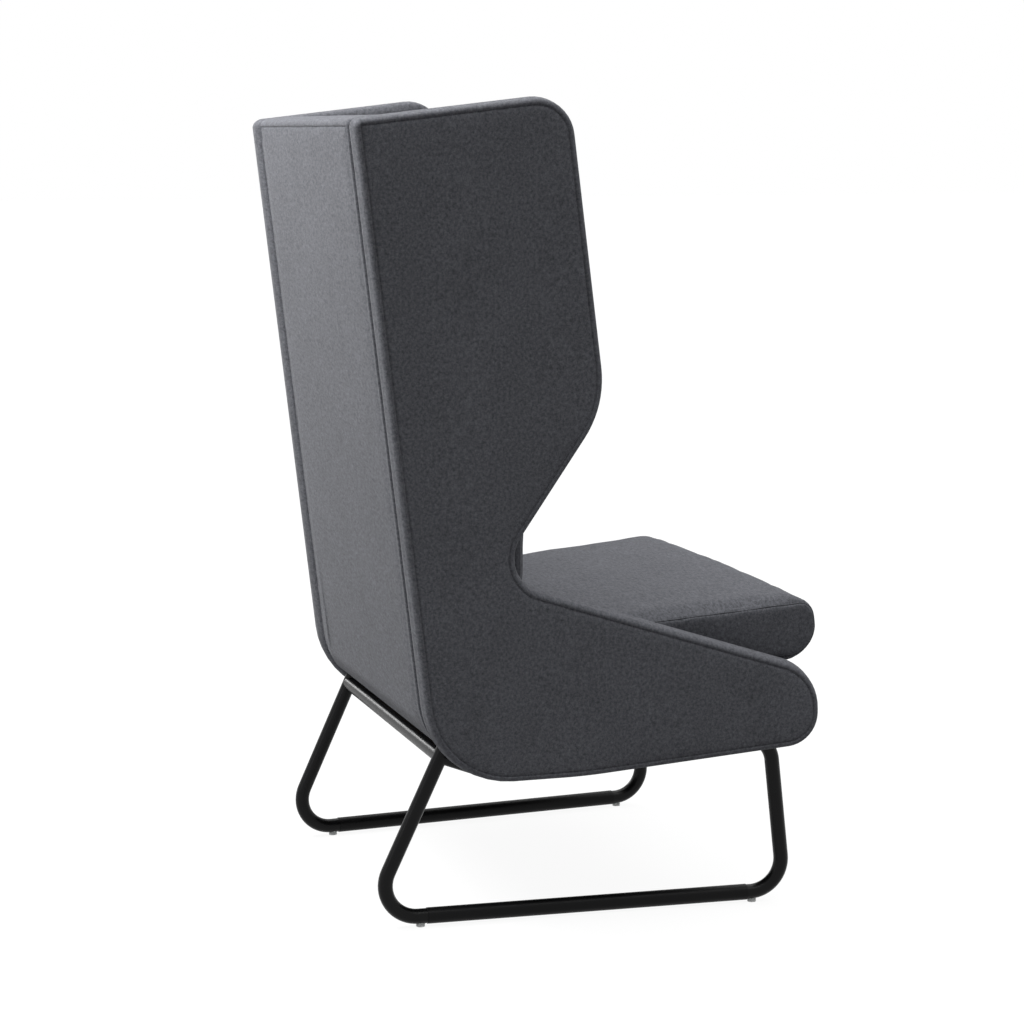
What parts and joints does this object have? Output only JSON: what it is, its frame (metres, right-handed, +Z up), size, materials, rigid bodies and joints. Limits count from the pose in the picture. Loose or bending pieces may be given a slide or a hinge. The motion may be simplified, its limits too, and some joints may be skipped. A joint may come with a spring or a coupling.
{
  "type": "acoustic high back lounge chair",
  "caption": "Felt-covered lounge chair with a tall winged back, sloping arms and thick cushions between padded side panels, on a bent steel tube sled base",
  "frame": {"origin": "on the floor, under the middle of the chair's bounding box", "axes": "+Z up; the chair faces -Y, so its back is towards +Y; +X is the left side of someone sitting in it"},
  "size_m": [0.7452, 0.7058, 1.1877],
  "materials": {
    "felt": "dark grey wool felt with a fine lighter and darker fleck, matt",
    "plywood": "raw birch plywood, sanded",
    "timber": "raw beech, planed",
    "lining": "thin black non-woven cloth",
    "frame_coat": "black powder coat, semi-gloss with a fine texture",
    "sleeve": "black polyethylene sleeve, satin",
    "glide": "milky clear nylon, satin",
    "fixing_steel": "zinc-plated steel"
  },
  "bodies": {
    "root": {"left_panel_cover": "felt", "right_panel_cover": "felt", "back_cover": "felt", "backrest_cushion": "felt", "seat_cushion": "felt", "front_apron": "felt", "left_panel_board": "plywood", "right_panel_board": "plywood", "back_board": "plywood", "backrest_board": "plywood", "seat_board": "plywood", "left_seat_rail": "timber", "right_seat_rail": "timber", "front_seat_rail": "timber", "rear_seat_rail": "timber", "back_dowels": "timber", "underseat_lining": "lining", "left_sled_tube": "frame_coat", "right_sled_tube": "frame_coat", "left_side_rail": "frame_coat", "right_side_rail": "frame_coat", "rear_cross_tube": "frame_coat", "front_cross_tube": "frame_coat", "left_frame_tabs": "frame_coat", "right_frame_tabs": "frame_coat", "left_runner_sleeve": "sleeve", "right_runner_sleeve": "sleeve", "front_left_glide": "glide", "front_right_glide": "glide", "rear_left_glide": "glide", "rear_right_glide": "glide", "panel_bolts": "fixing_steel", "back_bolts": "fixing_steel"}
  },
  "joints": []
}
